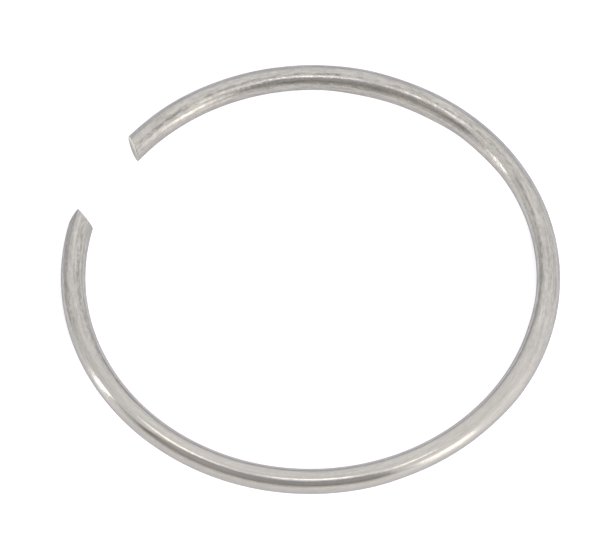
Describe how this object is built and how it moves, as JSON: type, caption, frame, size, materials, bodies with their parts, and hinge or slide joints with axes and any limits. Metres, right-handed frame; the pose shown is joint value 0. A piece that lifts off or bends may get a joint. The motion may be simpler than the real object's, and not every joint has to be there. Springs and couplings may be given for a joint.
{
  "type": "round wire snap ring",
  "caption": "Open ring of round drawn spring wire with obliquely sheared ends, that springs into a groove to hold a part on a shaft.",
  "frame": {"origin": "centre of the ring, on the surface that the wire lies on", "axes": "+Z along the ring's axis, up from the surface it lies on; the gap is centred on -X, with the leading end on its -Y side and the tail end on its +Y side"},
  "size_m": [0.0497, 0.05, 0.0025],
  "materials": {
    "spring_steel": "bright drawn wire with fine lengthwise draw marks and bare sheared ends"
  },
  "bodies": {
    "root": {"wire_ring": "spring_steel"}
  },
  "joints": []
}
